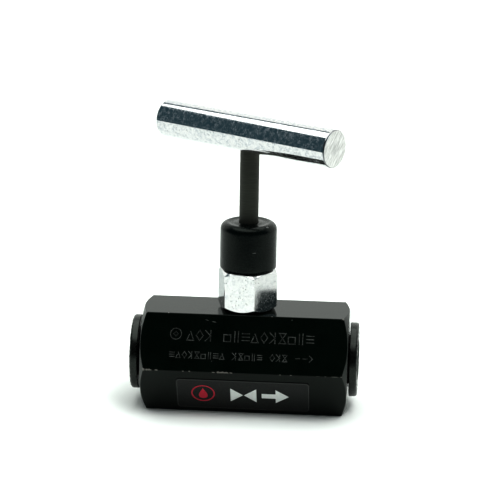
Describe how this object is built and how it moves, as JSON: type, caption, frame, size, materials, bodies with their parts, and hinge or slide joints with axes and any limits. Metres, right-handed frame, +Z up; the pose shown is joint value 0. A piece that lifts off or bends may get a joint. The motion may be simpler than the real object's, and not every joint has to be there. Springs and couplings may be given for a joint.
{
  "type": "flow control valve",
  "caption": "In-line hydraulic needle valve: hexagonal steel body with a tapped port in each end, plated bonnet, rising stem with dust cap and T-bar handle, and a push-in plug in each port.",
  "frame": {"origin": "centre of the body's bottom flat, below the stem's axis", "axes": "+X along the flow from inlet to outlet, -Y towards the labelled side, +Z up along the stem"},
  "size_m": [0.072, 0.0456, 0.0943],
  "materials": {
    "body_black": "semi-gloss black oxide",
    "zinc_plate": "bright zinc plate",
    "stem_black": "satin black oxide",
    "cap_vinyl": "soft satin vinyl",
    "plug_plastic": "moulded polyethylene",
    "label_film": "printed film",
    "hard_steel": "ground, hardened",
    "spring_steel": "oiled spring steel",
    "seal_rubber": "nitrile rubber",
    "seal_ptfe": "virgin PTFE"
  },
  "bodies": {
    "valve": {"valve_body": "body_black", "seat_insert": "hard_steel", "bonnet_nut": "zinc_plate", "bonnet_o_ring": "seal_rubber", "bonnet_backup_ring": "seal_ptfe", "backup_ring_lower": "seal_ptfe", "needle_o_ring": "seal_rubber", "backup_ring_upper": "seal_ptfe", "packing_washer": "hard_steel", "packing_circlip": "spring_steel", "spindle_wiper": "seal_rubber", "dust_cap": "cap_vinyl", "label": "label_film"},
    "needle": {"needle": "hard_steel", "thrust_ball": "hard_steel", "swivel_ring": "spring_steel"},
    "spindle": {"spindle": "stem_black", "t_bar": "zinc_plate", "t_bar_pin": "spring_steel"},
    "inlet_plug": {"inlet_plug": "plug_plastic"},
    "outlet_plug": {"outlet_plug": "plug_plastic"}
  },
  "joints": [
    {"name": "needle_lift", "type": "slide", "parent": "valve", "child": "needle", "axis": [0, 0, 1], "range_m": [0, 0.003]},
    {"name": "handle_turn", "type": "hinge", "parent": "needle", "child": "spindle", "pos_m": [0, 0, 0.0883], "axis": [0, 0, 1], "range_deg": [0, 1080]},
    {"name": "inlet_plug_pull", "type": "slide", "parent": "valve", "child": "inlet_plug", "axis": [-1, 0, 0], "range_m": [0, 0.02]},
    {"name": "outlet_plug_pull", "type": "slide", "parent": "valve", "child": "outlet_plug", "axis": [1, 0, 0], "range_m": [0, 0.02]}
  ],
  "couplings": [
    {"joint": "needle_lift", "follows": "handle_turn", "m_per_rad": 0.00015915}
  ]
}
